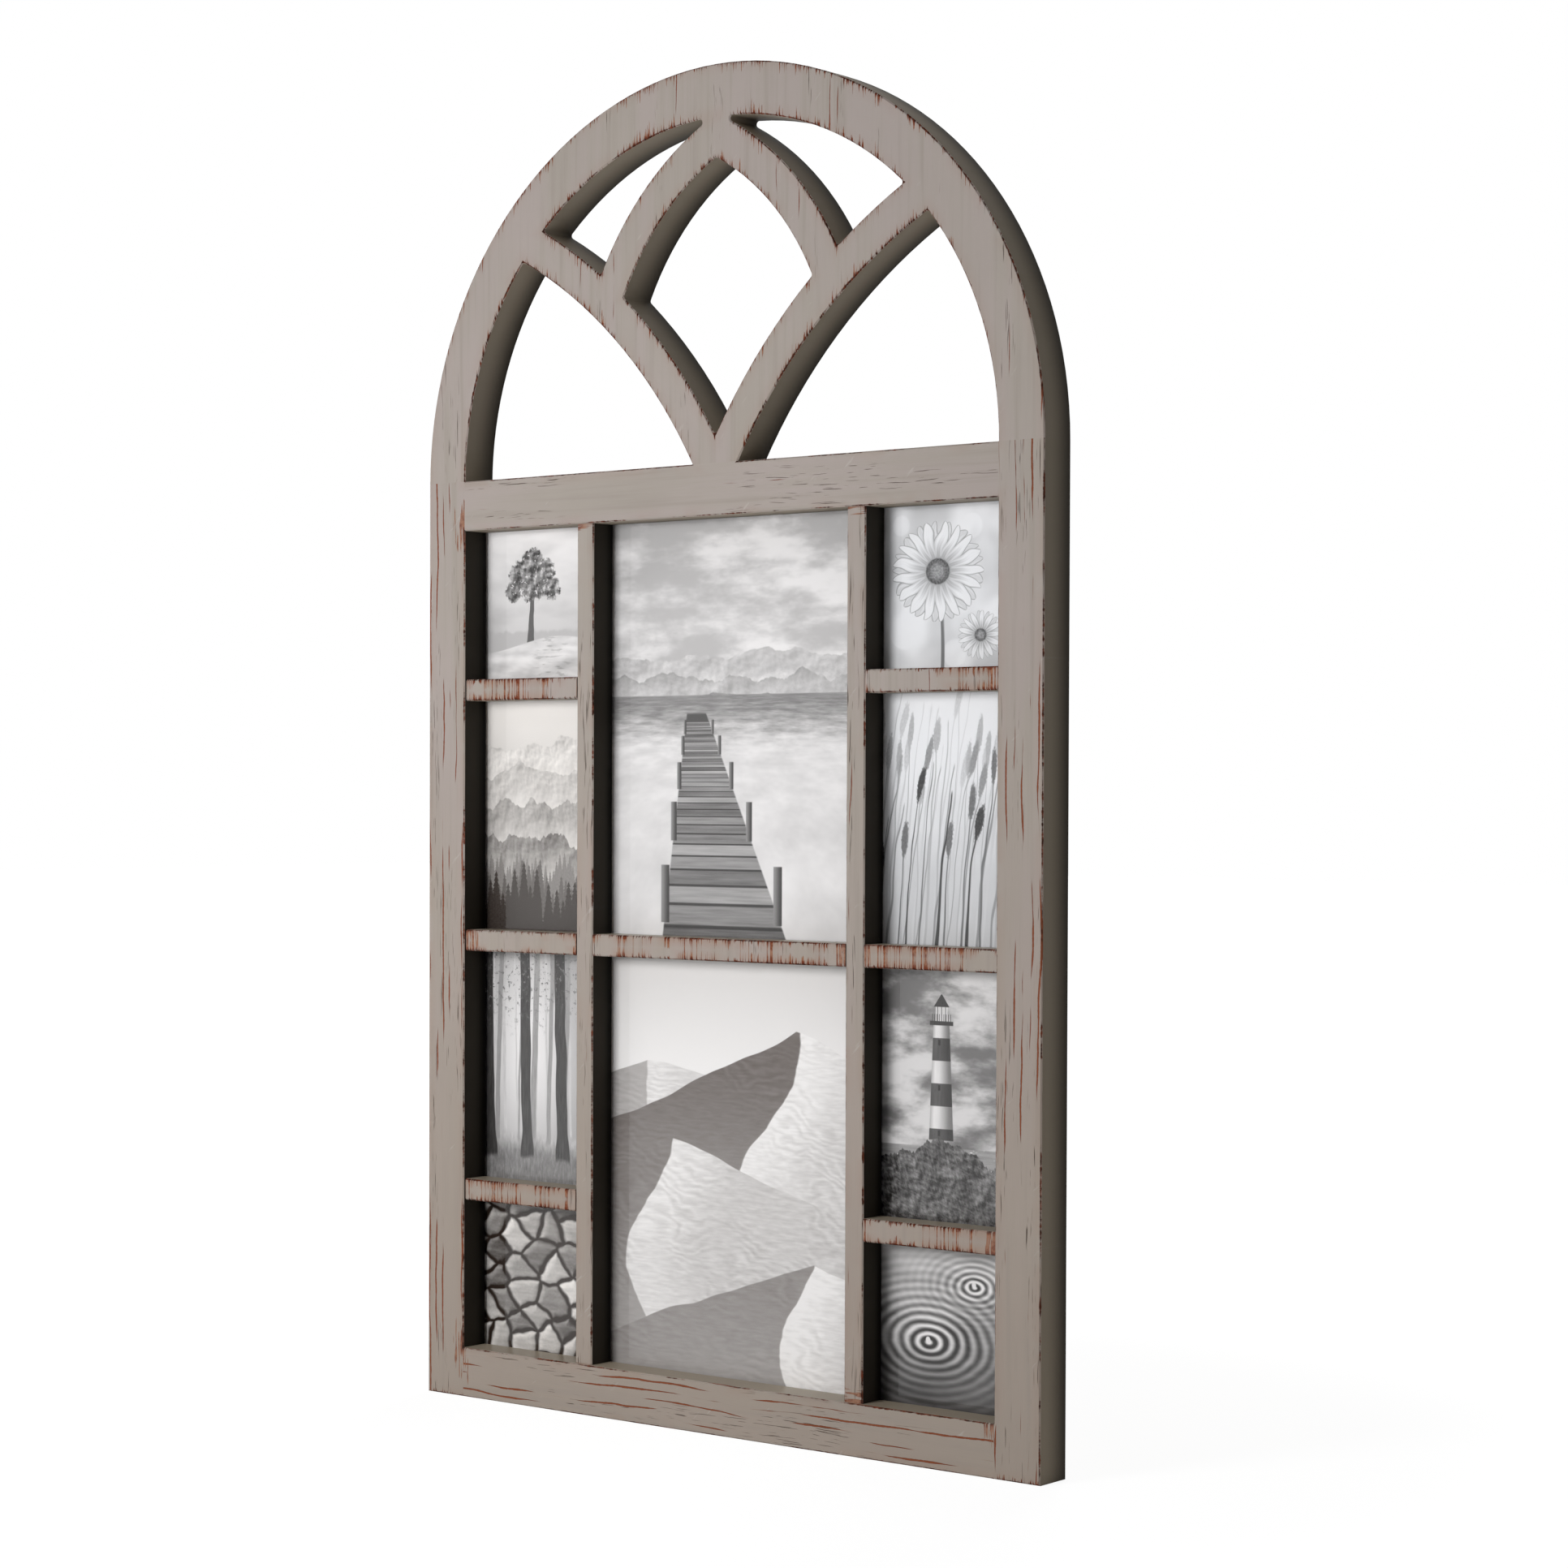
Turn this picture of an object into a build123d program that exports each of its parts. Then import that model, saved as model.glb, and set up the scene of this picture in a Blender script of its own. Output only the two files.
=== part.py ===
"""Arched collage photo frame for ten photographs, made as an old window: a rectangular frame of stiles
and rails, an arch panel with intersecting-arc tracery on top, thin bars that part the panes, and behind
each column of panes a lift-out backing board held by turn buttons.

Millimetres. +X is to the viewer's right, +Z up, and the front looks along -Y. Y = 0 is the back of the
wood, and the origin lies midway between the keyholes of the two hanger plates.
"""

import os
from math import cos, radians, sin, sqrt

from build123d import *

os.makedirs("parts", exist_ok=True)

# Photographs that the frame takes
photo_short = 101.6
photo_long = 152.4
photo_large_width = 203.2
photo_large_height = 254.0
lip = 4.0
large_end_lip = 1.3

# Wooden members
member_width = 31.0
bar_width = 13.4
depth = 25.4
bar_recess = 1.9
edge_bevel = 0.8

# Tracery of the arch panel, measured from the centre of the arch
band_width = 23.0
lower_band_radius = 350.6
lower_band_foot = 4.2
lower_band_shoulder_angle = 44.0
upper_band_radius = 177.5
upper_band_crown_drop = 11.0
upper_band_junction_height = 101.0
opening_corner_radius = 2.0

# What lies in the rabbets
glass_thickness = 2.0
print_thickness = 0.3
board_thickness = 3.0
board_setback = 0.2
sheet_gap = 0.1
pane_clearance = 0.4
tongue_clearance = 0.1

# Mortise and tenon joints
tenon_thickness = 8.0
tenon_clearance = 0.15
tenon_end_clearance = 0.3
rail_tenon_length = 12.0
rail_tenon_shoulder = 6.0
stile_tenon_length = 12.0
stile_tenon_shoulder = 8.0
crown_tenon_length = 10.0
crown_tenon_width = 20.0
bar_tenon_shoulder = 2.5
mullion_tenon_length = 6.0
muntin_tenon_length = 4.0

# Turn buttons and their screws
button_length = 30.0
button_width = 10.0
button_thickness = 1.0
button_corner = 2.5
button_set_in = 9.0
button_gap = 0.1
button_bore_clearance = 0.05
button_screw_radius = 1.3
button_screw_length = 10.0
button_head_radius = 3.0
button_head_height = 1.7

# Slots for the screwdriver
drive_slot_width = 0.9
drive_slot_depth = 0.7
drive_slot_turn = 35.0

# Keyhole hangers
hanger_drop = 60.0
hanger_length = 44.0
hanger_width = 16.0
hanger_corner = 3.0
hanger_thickness = 1.5
keyhole_radius = 4.5
keyhole_slot_radius = 2.2
keyhole_slot_rise = 9.0
hanger_screw_spacing = 32.0
hanger_screw_radius = 1.5
hanger_screw_length = 12.0
hanger_screw_head_radius = 2.8
hanger_screw_clearance = 0.1
pocket_margin = 1.0
pocket_depth = 7.0

# Openings as the viewer sees them, and the outline that follows from them
short_opening = photo_short - 2 * lip
long_opening = photo_long - 2 * lip
large_opening = photo_large_width - 2 * lip
large_opening_height = photo_large_height - 2 * large_end_lip
field_width = 2 * short_opening + large_opening + 2 * bar_width
side_column_height = 2 * short_opening + 2 * long_opening + 3 * bar_width
centre_column_height = 2 * large_opening_height + bar_width
field_height = max(side_column_height, centre_column_height)
half_field = field_width / 2
half_width = half_field + member_width
half_large = large_opening / 2
mullion_x = half_large + bar_width / 2
side_column_x = half_large + bar_width + short_opening / 2
stile_x = half_field + member_width / 2
# Muntins of the lower column, if one is lower, are wide enough to make up the difference
side_muntin_width = bar_width + (field_height - side_column_height) / 3
centre_muntin_width = bar_width + field_height - centre_column_height
bar_tenon_width = bar_width - 2 * bar_tenon_shoulder
rail_tenon_width = member_width - 2 * rail_tenon_shoulder
stile_tenon_width = member_width - 2 * stile_tenon_shoulder

# Heights
spring_z = hanger_drop
field_top = spring_z - member_width
field_bottom = field_top - field_height
bottom_z = field_bottom - member_width
upper_muntin_z = field_top - short_opening - side_muntin_width / 2
middle_muntin_z = upper_muntin_z - long_opening - side_muntin_width
lower_muntin_z = middle_muntin_z - long_opening - side_muntin_width
muntin_levels = [upper_muntin_z, middle_muntin_z, lower_muntin_z]
top_rail_z = (spring_z + field_top) / 2
bottom_rail_z = (field_bottom + bottom_z) / 2

# Depths, from the back of the wood to the front
rabbet_depth = glass_thickness + print_thickness + board_thickness + 2 * sheet_gap + board_setback
rabbet_width = lip + pane_clearance
web_width = bar_width - 2 * rabbet_width
bar_front_y = bar_recess - depth
glass_front_y = -rabbet_depth
glass_back_y = glass_front_y + glass_thickness
print_back_y = glass_back_y + sheet_gap + print_thickness
board_back_y = print_back_y + sheet_gap + board_thickness
middle_y = -depth / 2
bar_middle_y = (bar_front_y + glass_front_y) / 2

# Places of the turn buttons
stile_button_x = half_field + rabbet_width + button_set_in
stile_button_zs = [upper_muntin_z, lower_muntin_z]
top_button_z = field_top + rabbet_width + button_set_in
bottom_button_z = field_bottom - rabbet_width - button_set_in
rail_button_xs = [-side_column_x, -half_large / 2, half_large / 2, side_column_x]
hanger_x = half_field + (member_width + rabbet_width) / 2


def at_back(x, z):
    """Plane on the back of the wood, with its normal pointing out of it."""
    return Plane(origin=(x, 0, z), x_dir=(1, 0, 0), z_dir=(0, 1, 0))


def facing_front(y, x=0.0, z=0.0):
    """Plane at the depth y that looks to the front, with its own axes along +X and +Z."""
    return Plane(origin=(x, y, z), x_dir=(1, 0, 0), z_dir=(0, -1, 0))


def save(part, name):
    """Label a finished piece and write it."""
    part.label = name
    export_step(part, f"parts/{name}.step")


def mortise(x, y, z, normal, width, length):
    """Slot in the piece at hand for a tenon that arrives against the normal of the joint's face."""
    with Locations(Plane(origin=(x, y, z), x_dir=(0, 1, 0), z_dir=normal)):
        Box(
            tenon_thickness + 2 * tenon_clearance,
            width + 2 * tenon_clearance,
            length + tenon_end_clearance,
            align=(Align.CENTER, Align.CENTER, Align.MAX),
            mode=Mode.SUBTRACT,
        )


def tenon(x, y, z, normal, width, length):
    """Tenon that stands out of the piece at hand along the normal of the joint's face."""
    with Locations(Plane(origin=(x, y, z), x_dir=(0, 1, 0), z_dir=normal)):
        Box(
            tenon_thickness,
            width,
            length,
            align=(Align.CENTER, Align.CENTER, Align.MIN),
        )


def drive_slot(x, y, z, head_radius):
    """Slot across the screw head at hand, whose outer face lies at the depth y."""
    with Locations(Plane(origin=(x, y, z), x_dir=(1, 0, 0), z_dir=(0, 1, 0))):
        Box(
            2 * (head_radius + drive_slot_width),
            drive_slot_width,
            drive_slot_depth,
            rotation=(0, 0, drive_slot_turn),
            align=(Align.CENTER, Align.CENTER, Align.MAX),
            mode=Mode.SUBTRACT,
        )


def arc_centre(start, end, radius):
    """Centre of the arc from start to end that bends to the right."""
    chord = Vector(*end) - Vector(*start)
    middle = Vector(*start) + chord * 0.5
    to_the_right = Vector(chord.Y, -chord.X) / chord.length
    return middle + to_the_right * sqrt(radius**2 - (chord.length / 2) ** 2)


# Arch panel: a half-round board with five openings between the ring and the two pairs of bands
shoulder = (
    half_field * cos(radians(lower_band_shoulder_angle)),
    half_field * sin(radians(lower_band_shoulder_angle)),
)
lower_centre = arc_centre((lower_band_foot, 0), shoulder, lower_band_radius)
junction_x = lower_centre.X - sqrt(
    lower_band_radius**2 - (upper_band_junction_height - lower_centre.Y) ** 2
)
crown = (0, half_field - upper_band_crown_drop)
upper_centre = arc_centre(crown, (junction_x, upper_band_junction_height), upper_band_radius)
lower_centres = [(lower_centre.X, lower_centre.Y), (-lower_centre.X, lower_centre.Y)]
upper_centres = [(upper_centre.X, upper_centre.Y), (-upper_centre.X, upper_centre.Y)]
lower_band_upper_edge = lower_band_radius + band_width / 2
lower_band_lower_edge = lower_band_radius - band_width / 2
upper_band_outer_edge = upper_band_radius + band_width / 2
upper_band_inner_edge = upper_band_radius - band_width / 2
arch_back = facing_front(0, z=spring_z)

with BuildPart() as arch_panel:
    with BuildSketch(arch_back):
        Circle(half_width)
        Rectangle(
            2 * half_width, half_width, align=(Align.CENTER, Align.MIN), mode=Mode.INTERSECT
        )
    extrude(amount=depth)
    # Pointed opening in the middle
    with BuildSketch(arch_back) as diamond:
        with Locations(upper_centres[0]):
            Circle(upper_band_inner_edge)
        with Locations(upper_centres[1]):
            Circle(upper_band_inner_edge, mode=Mode.INTERSECT)
        with Locations(*lower_centres):
            Circle(lower_band_upper_edge, mode=Mode.SUBTRACT)
        fillet(diamond.vertices(), opening_corner_radius)
    extrude(amount=depth, mode=Mode.SUBTRACT)
    # Spandrels between the ring and the upper bands
    with BuildSketch(arch_back) as spandrels:
        Circle(half_field)
        Rectangle(
            half_field, half_field, align=(Align.MIN, Align.MIN), mode=Mode.INTERSECT
        )
        with Locations(upper_centres[0]):
            Circle(upper_band_outer_edge, mode=Mode.SUBTRACT)
        with Locations(lower_centres[0]):
            Circle(lower_band_upper_edge, mode=Mode.SUBTRACT)
        fillet(spandrels.vertices(), opening_corner_radius)
        mirror(about=Plane.YZ)
    extrude(amount=depth, mode=Mode.SUBTRACT)
    # Quarter openings that the top rail closes from below
    with BuildSketch(arch_back) as quarters:
        Circle(half_field)
        with Locations(lower_centres[0]):
            Circle(lower_band_lower_edge, mode=Mode.INTERSECT)
        fillet(quarters.vertices().sort_by(Axis.Y)[-1], opening_corner_radius)
        mirror(about=Plane.YZ)
    extrude(amount=depth, mode=Mode.SUBTRACT)
    front_edges = arch_panel.faces().sort_by(Axis.Y)[0].edges()
    chamfer(front_edges.filter_by(lambda edge: edge.center().Z > spring_z + edge_bevel), edge_bevel)
    for side in (-1, 1):
        mortise(
            side * stile_x, middle_y, spring_z, (0, 0, -1), stile_tenon_width, stile_tenon_length
        )
    tenon(0, middle_y, spring_z, (0, 0, -1), crown_tenon_width, crown_tenon_length)
save(arch_panel.part, "arch_panel")

# Stiles, with a stopped rabbet for the side column's panes and a stopped bevel beside the field
bevel_cutter = edge_bevel * sqrt(2)
for name, side in (("left_stile", -1), ("right_stile", 1)):
    with BuildPart() as stile:
        with BuildSketch(Plane.XY.offset(bottom_z)) as section:
            with Locations((side * stile_x, middle_y)):
                Rectangle(member_width, depth)
            front_corners = section.vertices().group_by(Axis.Y)[0].sort_by(Axis.X)
            chamfer(front_corners[-1 if side > 0 else 0], edge_bevel)
        extrude(amount=spring_z - bottom_z)
        foot_edges = stile.faces().sort_by(Axis.Z)[0].edges()
        chamfer(foot_edges.sort_by(Axis.Y)[0], edge_bevel)
        with BuildSketch(Plane.XY.offset(field_bottom)):
            with Locations((side * half_field, -depth)):
                Rectangle(bevel_cutter, bevel_cutter, rotation=45)
        extrude(amount=field_height, mode=Mode.SUBTRACT)
        with BuildSketch(facing_front(0, z=(field_top + field_bottom) / 2)):
            with Locations((side * half_field, 0)):
                Rectangle(2 * rabbet_width, field_height + 2 * rabbet_width)
        extrude(amount=rabbet_depth, mode=Mode.SUBTRACT)
        for level in muntin_levels:
            mortise(
                side * half_field,
                bar_middle_y,
                level,
                (-side, 0, 0),
                bar_tenon_width,
                muntin_tenon_length,
            )
        for rail_z in (top_rail_z, bottom_rail_z):
            mortise(
                side * half_field,
                middle_y,
                rail_z,
                (-side, 0, 0),
                rail_tenon_width,
                rail_tenon_length,
            )
        tenon(side * stile_x, middle_y, spring_z, (0, 0, 1), stile_tenon_width, stile_tenon_length)
        # Pocket behind the keyhole, which takes the head of the wall screw
        with BuildSketch(facing_front(0, x=side * hanger_x, z=keyhole_slot_rise / 2)):
            SlotCenterToCenter(
                keyhole_slot_rise, 2 * (keyhole_radius + pocket_margin), rotation=90
            )
        extrude(amount=pocket_depth, mode=Mode.SUBTRACT)
    save(stile.part, name)

# Rails between the stiles, with a rabbet along the edge that meets the panes
tracery_foot = lower_centre.X - sqrt(lower_band_lower_edge**2 - lower_centre.Y**2)
for name, rail_z, inward in (("top_rail", top_rail_z, -1), ("bottom_rail", bottom_rail_z, 1)):
    with BuildPart() as rail:
        with BuildSketch(Plane.YZ.offset(-half_field)) as section:
            with Locations((middle_y, rail_z)):
                Rectangle(depth, member_width)
            front_corners = section.vertices().group_by(Axis.X)[0].sort_by(Axis.Y)
            chamfer(front_corners[:1] if name == "top_rail" else front_corners, edge_bevel)
            with Locations((0, rail_z + inward * member_width / 2)):
                Rectangle(2 * rabbet_depth, 2 * rabbet_width, mode=Mode.SUBTRACT)
        extrude(amount=field_width)
        for side in (-1, 1):
            mortise(
                side * mullion_x,
                bar_middle_y,
                rail_z + inward * member_width / 2,
                (0, 0, inward),
                bar_tenon_width,
                mullion_tenon_length,
            )
            tenon(side * half_field, middle_y, rail_z, (side, 0, 0), rail_tenon_width, rail_tenon_length)
        if name == "top_rail":
            mortise(0, middle_y, spring_z, (0, 0, 1), crown_tenon_width, crown_tenon_length)
            # The upper edge is bevelled under the quarter openings, and flush at the tracery's foot
            for start in (-half_field, tracery_foot):
                with BuildSketch(Plane.YZ.offset(start)):
                    with Locations((-depth, spring_z)):
                        Rectangle(bevel_cutter, bevel_cutter, rotation=45)
                extrude(amount=half_field - tracery_foot, mode=Mode.SUBTRACT)
    save(rail.part, name)

# Mullions: a bar in front of the panes, a web between the boards, and a stub tenon at each end
for name, side in (("left_mullion", -1), ("right_mullion", 1)):
    with BuildPart() as mullion:
        with BuildSketch(Plane.XY.offset(field_bottom)) as section:
            with Locations((side * mullion_x, bar_middle_y)):
                Rectangle(bar_width, glass_front_y - bar_front_y)
            chamfer(section.vertices().group_by(Axis.Y)[0], edge_bevel)
        extrude(amount=field_height)
        with BuildSketch(facing_front(0, side * mullion_x, (field_top + field_bottom) / 2)):
            Rectangle(web_width, field_height + 2 * rabbet_width - 2 * pane_clearance)
        extrude(amount=rabbet_depth)
        for end_z, end in ((field_bottom, -1), (field_top, 1)):
            tenon(
                side * mullion_x,
                bar_middle_y,
                end_z,
                (0, 0, end),
                bar_tenon_width,
                mullion_tenon_length,
            )
        for level in muntin_levels:
            mortise(
                side * (mullion_x + bar_width / 2),
                bar_middle_y,
                level,
                (side, 0, 0),
                bar_tenon_width,
                muntin_tenon_length,
            )
        mortise(
            side * (mullion_x - bar_width / 2),
            bar_middle_y,
            middle_muntin_z,
            (-side, 0, 0),
            bar_tenon_width,
            muntin_tenon_length,
        )
    save(mullion.part, name)

# Muntins: a bar in front of the panes, a tongue that parts them, and a stub tenon at each end
tongue_depth = glass_thickness + print_thickness + 2 * sheet_gap - tongue_clearance
side_muntins = [
    (f"{column}_muntin_{place}", side * side_column_x, short_opening, level, side_muntin_width)
    for column, side in (("left", -1), ("right", 1))
    for place, level in zip(("upper", "middle", "lower"), muntin_levels)
]
centre_muntin = ("centre_muntin", 0.0, large_opening, middle_muntin_z, centre_muntin_width)
for name, column_x, length, level, width in [*side_muntins, centre_muntin]:
    with BuildPart() as muntin:
        with BuildSketch(Plane.YZ.offset(column_x - length / 2)) as section:
            with Locations((bar_middle_y, level)):
                Rectangle(glass_front_y - bar_front_y, width)
            chamfer(section.vertices().group_by(Axis.X)[0], edge_bevel)
            with Locations((glass_front_y, level)):
                Rectangle(tongue_depth, width - 2 * rabbet_width, align=(Align.MIN, Align.CENTER))
        extrude(amount=length)
        for end in (-1, 1):
            tenon(
                column_x + end * length / 2,
                bar_middle_y,
                level,
                (end, 0, 0),
                bar_tenon_width,
                muntin_tenon_length,
            )
    save(muntin.part, name)

# Panes and prints, from the top of each column to its bottom
side_cells = [
    (field_top - short_opening / 2, short_opening, photo_short),
    ((upper_muntin_z + middle_muntin_z) / 2, long_opening, photo_long),
    ((middle_muntin_z + lower_muntin_z) / 2, long_opening, photo_long),
    (field_bottom + short_opening / 2, short_opening, photo_short),
]
centre_cells = [
    (field_top - large_opening_height / 2, large_opening_height, photo_large_height),
    (field_bottom + large_opening_height / 2, large_opening_height, photo_large_height),
]
columns = [
    ("left", -side_column_x, photo_short, side_cells),
    ("centre", 0.0, photo_large_width, centre_cells),
    ("right", side_column_x, photo_short, side_cells),
]
for column, column_x, photo_width, cells in columns:
    for number, (cell_z, opening_height, photo_height) in enumerate(cells, start=1):
        with BuildPart() as pane:
            with BuildSketch(facing_front(glass_back_y, column_x, cell_z)):
                Rectangle(photo_width, opening_height + 2 * lip)
            extrude(amount=glass_thickness)
        save(pane.part, f"glass_{column}_{number}")
        with BuildPart() as photo_print:
            with BuildSketch(facing_front(print_back_y, column_x, cell_z)):
                Rectangle(photo_width, photo_height)
            extrude(amount=print_thickness)
        save(photo_print.part, f"print_{column}_{number}")
    with BuildPart() as board:
        with BuildSketch(facing_front(board_back_y, column_x, (field_top + field_bottom) / 2)):
            Rectangle(photo_width, field_height + 2 * lip)
        extrude(amount=board_thickness)
    save(board.part, f"back_board_{column}")

# Turn buttons: flat strips with clipped corners that reach from the wood over the edge of a board
side_buttons = [
    (f"button_{column}_{number}", side * stile_button_x, level, 0)
    for column, side in (("left", -1), ("right", 1))
    for number, level in enumerate(stile_button_zs, start=1)
]
rail_buttons = [
    (f"button_{rail}_{number}", x, z, 90)
    for rail, z in (("top", top_button_z), ("bottom", bottom_button_z))
    for number, x in enumerate(rail_button_xs, start=1)
]
buttons = side_buttons + rail_buttons
for name, x, z, turn in buttons:
    with BuildPart() as button:
        with BuildSketch(facing_front(button_gap + button_thickness, x, z)) as strip:
            Rectangle(button_length, button_width, rotation=turn)
            chamfer(strip.vertices(), button_corner)
        extrude(amount=button_thickness)
        with Locations(at_back(x, z)):
            Hole(button_screw_radius + button_bore_clearance)
    save(button.part, name)

# Screws that the buttons turn on
head_y = 2 * button_gap + button_thickness
with BuildPart() as button_screws:
    for name, x, z, turn in buttons:
        with BuildSketch(facing_front(head_y, x, z)):
            Circle(button_screw_radius)
        extrude(amount=head_y + button_screw_length)
        with BuildSketch(facing_front(head_y + button_head_height, x, z)):
            Circle(button_head_radius)
        extrude(amount=button_head_height)
        drive_slot(x, head_y + button_head_height, z, button_head_radius)
save(button_screws.part, "button_screws")

# Hanger plates with a keyhole each: a round entry for a screw's head and a slot above it for the shank
with BuildPart() as hanger_plates:
    for side in (-1, 1):
        with BuildSketch(facing_front(hanger_thickness, side * hanger_x)) as plate:
            Rectangle(hanger_width, hanger_length)
            chamfer(plate.vertices(), hanger_corner)
            Circle(keyhole_radius, mode=Mode.SUBTRACT)
            with Locations((0, keyhole_slot_rise / 2)):
                SlotCenterToCenter(
                    keyhole_slot_rise,
                    2 * keyhole_slot_radius,
                    rotation=90,
                    mode=Mode.SUBTRACT,
                )
        extrude(amount=hanger_thickness)
    with Locations(
        *[
            Plane(origin=(side * hanger_x, hanger_thickness, end * hanger_screw_spacing / 2), z_dir=(0, 1, 0))
            for side in (-1, 1)
            for end in (-1, 1)
        ]
    ):
        CounterSinkHole(
            hanger_screw_radius + hanger_screw_clearance,
            hanger_screw_head_radius + hanger_screw_clearance,
            hanger_thickness,
        )
save(hanger_plates.part, "hanger_plates")

# Countersunk screws of the hanger plates, their heads flush with the plates
head_depth = hanger_screw_head_radius - hanger_screw_radius
with BuildPart() as hanger_screws:
    for side in (-1, 1):
        for end in (-1, 1):
            screw_z = end * hanger_screw_spacing / 2
            with BuildSketch(Plane.XY.offset(screw_z)):
                with BuildLine(Location((side * hanger_x, 0, 0))):
                    Polyline(
                        (0, hanger_thickness),
                        (0, -hanger_screw_length),
                        (hanger_screw_radius, -hanger_screw_length),
                        (hanger_screw_radius, hanger_thickness - head_depth),
                        (hanger_screw_head_radius, hanger_thickness),
                        close=True,
                    )
                make_face()
            revolve(axis=Axis((side * hanger_x, 0, screw_z), (0, 1, 0)))
            drive_slot(side * hanger_x, hanger_thickness, screw_z, hanger_screw_head_radius)
save(hanger_screws.part, "hanger_screws")
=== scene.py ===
"""Looks of a collage photo frame with an arched head: worn paint, panes, prints, boards and steel.

Objects are in metres. The material formulas work in millimetres, in the frame's own axes: x to the
viewer's right, z up, and y from the front of the frame to its back.
"""

import math

import bpy
from mathutils import Matrix, Vector


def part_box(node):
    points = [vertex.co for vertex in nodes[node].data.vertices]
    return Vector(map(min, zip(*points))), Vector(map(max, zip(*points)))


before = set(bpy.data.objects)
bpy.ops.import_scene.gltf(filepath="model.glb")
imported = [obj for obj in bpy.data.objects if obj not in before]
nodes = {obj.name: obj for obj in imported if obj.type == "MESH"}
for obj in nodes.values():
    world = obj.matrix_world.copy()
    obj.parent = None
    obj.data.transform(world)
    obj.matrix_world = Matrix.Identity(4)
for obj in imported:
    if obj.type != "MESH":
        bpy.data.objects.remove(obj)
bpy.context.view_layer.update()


# Sizes read from the frame, in millimetres

def box_mm(name):
    """Lowest and highest corner of a node."""
    low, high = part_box(name)
    return low * 1000, high * 1000


stile_low, stile_high = box_mm("right_stile")
half_width = stile_high.x
field_x = stile_low.x
bottom_z = stile_low.z
front_y = stile_low.y
field_top = box_mm("top_rail")[0].z
spring_z = box_mm("top_rail")[1].z
field_bottom = box_mm("bottom_rail")[1].z
mullion_in = box_mm("right_mullion")[0].x
mullion_out = box_mm("right_mullion")[1].x
bar_front_y = box_mm("right_mullion")[0].y

# Tracery of the arch: two pairs of bands, each between two circles, seen from the middle of the arch
lower_band_centre = (312.5, -167.0)
lower_band_inner = 339.1
lower_band_outer = 362.1
upper_band_centre = (-78.1, 34.1)
upper_band_inner = 166.0
upper_band_outer = 189.0


# Numbers in a node tree

class Num:
    """A number in a material's node tree, so that the formulas below read as formulas."""

    def __init__(self, tree, socket):
        self.tree = tree
        self.socket = socket

    def __add__(self, other):
        return calc("ADD", self, other)

    def __radd__(self, other):
        return calc("ADD", other, self)

    def __sub__(self, other):
        return calc("SUBTRACT", self, other)

    def __rsub__(self, other):
        return calc("SUBTRACT", other, self)

    def __mul__(self, other):
        return calc("MULTIPLY", self, other)

    def __rmul__(self, other):
        return calc("MULTIPLY", other, self)

    def __truediv__(self, other):
        return calc("DIVIDE", self, other)

    def __rtruediv__(self, other):
        return calc("DIVIDE", other, self)

    def __neg__(self):
        return calc("MULTIPLY", self, -1.0)

    def __abs__(self):
        return calc("ABSOLUTE", self)


def feed(socket, value):
    """Links a number to a socket, or sets the socket to a plain value."""
    if isinstance(value, Num):
        value.tree.links.new(value.socket, socket)
    else:
        socket.default_value = value


def calc(operation, *values):
    """One Math node on plain values and numbers of a tree."""
    tree = next(v.tree for v in values if isinstance(v, Num))
    node = tree.nodes.new("ShaderNodeMath")
    node.operation = operation
    for socket, value in zip(node.inputs, values):
        feed(socket, value)
    return Num(tree, node.outputs[0])


def least(first, *others):
    for other in others:
        first = calc("MINIMUM", first, other)
    return first


def most(first, *others):
    for other in others:
        first = calc("MAXIMUM", first, other)
    return first


def rounded_most(first, second, radius=10.0):
    """The greater of two numbers, eased where they are nearly equal."""
    return calc("SMOOTH_MAX", first, second, radius)


def smooth(value, low, high):
    """0 below low, 1 above high, with a soft step between them."""
    node = value.tree.nodes.new("ShaderNodeMapRange")
    node.interpolation_type = "SMOOTHSTEP"
    for socket, setting in zip(node.inputs, (value, low, high, 0.0, 1.0)):
        feed(socket, setting)
    return Num(value.tree, node.outputs[0])


def within(value, soft):
    """1 where value is below zero, 0 where it is above, soft at the border."""
    return 1.0 - smooth(value, -soft, soft)


def blend(start, end, share):
    """start where share is 0, end where it is 1."""
    return start + (end - start) * share


def hypot(x, z):
    return calc("SQRT", x * x + z * z)


def vector(tree, x, y, z):
    node = tree.nodes.new("ShaderNodeCombineXYZ")
    for socket, value in zip(node.inputs, (x, y, z)):
        feed(socket, value)
    return Num(tree, node.outputs[0])


def noise(x, z, seed, detail=2.0, roughness=0.5):
    """Smooth noise from 0 to 1 with about one bump for each unit of x and z."""
    node = x.tree.nodes.new("ShaderNodeTexNoise")
    feed(node.inputs["Vector"], vector(x.tree, x, z, seed))
    node.inputs["Scale"].default_value = 1.0
    node.inputs["Detail"].default_value = detail
    node.inputs["Roughness"].default_value = roughness
    return Num(x.tree, node.outputs[0])


def cells(x, z, feature, output):
    """One output of a pattern of irregular cells, about one for each unit of x and z."""
    node = x.tree.nodes.new("ShaderNodeTexVoronoi")
    node.voronoi_dimensions = "2D"
    node.feature = feature
    feed(node.inputs["Vector"], vector(x.tree, x, z, 0.0))
    node.inputs["Scale"].default_value = 1.0
    return Num(x.tree, node.outputs[output])


def srgb(red, green, blue):
    """A colour given as on screen, 0 to 255, as a linear colour."""
    def linear(value):
        part = value / 255
        return part / 12.92 if part <= 0.04045 else ((part + 0.055) / 1.055) ** 2.4

    return (linear(red), linear(green), linear(blue), 1.0)


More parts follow.
